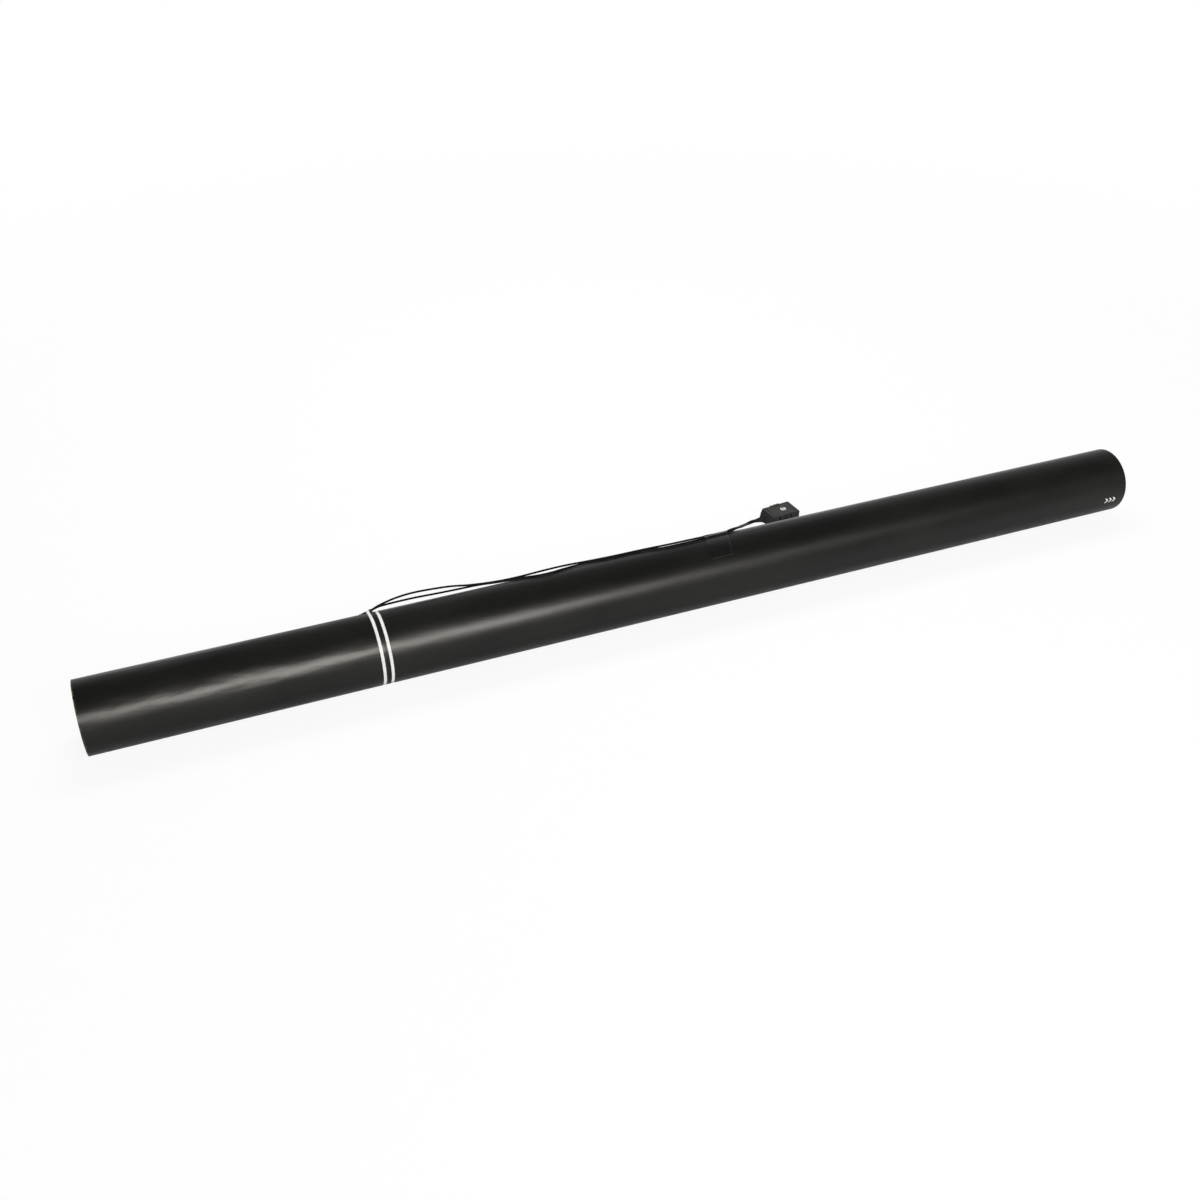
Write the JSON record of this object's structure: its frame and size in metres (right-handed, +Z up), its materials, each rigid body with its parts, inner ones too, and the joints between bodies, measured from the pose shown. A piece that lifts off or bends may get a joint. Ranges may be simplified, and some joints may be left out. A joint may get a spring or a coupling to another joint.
{
  "type": "electric confetti cannon",
  "caption": "Single-use electric confetti cannon: long black card barrel with printed rings, taped leads to a two-pole connector, gas cartridge release and tissue charge.",
  "frame": {"origin": "centre of the barrel's breech face, on the barrel axis", "axes": "+X along the barrel from breech to muzzle, +Z up, +Y to the back, where the connector lies"},
  "size_m": [0.8, 0.1121, 0.0507],
  "materials": {
    "card": "raw wound card",
    "black_wrap": "satin black printed wrap",
    "black_tape": "black adhesive tape",
    "lead_sheath": "black flexible sheath",
    "connector_plastic": "fine matte black moulding",
    "bright_steel": "bright plated screw",
    "steel": "plain steel",
    "brass": "plain brass",
    "black_rubber": "soft black rubber",
    "black_plastic": "matte black moulding",
    "grey_plastic": "filled nylon moulding",
    "white_plastic": "turned acetal",
    "nylon_line": "clear nylon line",
    "ceramic": "lacquered resistor body",
    "fibre_board": "pressed fibre board",
    "foam": "closed cell foam",
    "cartridge_metal": "drawn aluminium",
    "felt": "pressed felt",
    "white_tissue": "crumpled tissue",
    "black_paper": "black paper cup",
    "blue_tissue": "blue tissue slips"
  },
  "bodies": {
    "barrel": {"barrel_tube": "card", "breech_label": "black_wrap", "lead_cuff": "black_wrap", "barrel_wrap": "black_wrap", "exit_grommet": "black_rubber", "breech_plug": "black_plastic", "plug_nails": "steel", "recoil_pad": "foam", "gas_cartridge": "cartridge_metal", "cartridge_spacer": "card", "neck_bush": "brass", "neck_collar": "steel", "fuse_bridle": "nylon_line", "heater_resistor": "ceramic", "resistor_wires": "steel", "terminal_board": "fibre_board", "board_screws": "steel", "terminals": "brass", "inner_lead_a": "lead_sheath", "inner_lead_b": "lead_sheath", "trigger_cage": "grey_plastic", "gas_screen": "steel", "retaining_tape": "black_tape", "lead_a": "lead_sheath", "lead_b": "lead_sheath", "connector_body": "connector_plastic", "connector_cover": "connector_plastic", "connector_screw": "bright_steel", "connector_pins": "brass", "lead_sleeve": "black_rubber", "pin_leads": "lead_sheath"},
    "release": {"release_plug": "white_plastic", "plug_seal": "black_rubber"},
    "charge": {"pusher_wad": "felt", "confetti_pack_01": "blue_tissue", "confetti_pack_02": "blue_tissue", "confetti_pack_03": "blue_tissue", "confetti_pack_04": "blue_tissue", "confetti_pack_05": "blue_tissue", "confetti_pack_06": "blue_tissue", "confetti_pack_07": "blue_tissue", "confetti_pack_08": "blue_tissue", "confetti_pack_09": "blue_tissue", "confetti_pack_10": "blue_tissue", "front_wad": "white_tissue"},
    "cover": {"muzzle_cover": "black_paper"}
  },
  "joints": [
    {"name": "release_slide", "type": "slide", "parent": "barrel", "child": "release", "axis": [1, 0, 0], "range_m": [0, 0.0127], "deforming": ["fuse_bridle"]},
    {"name": "charge_slide", "type": "slide", "parent": "barrel", "child": "charge", "axis": [1, 0, 0], "range_m": [0, 0.6005]},
    {"name": "cover_slide", "type": "slide", "parent": "charge", "child": "cover", "axis": [1, 0, 0], "range_m": [0, 0.013]}
  ]
}
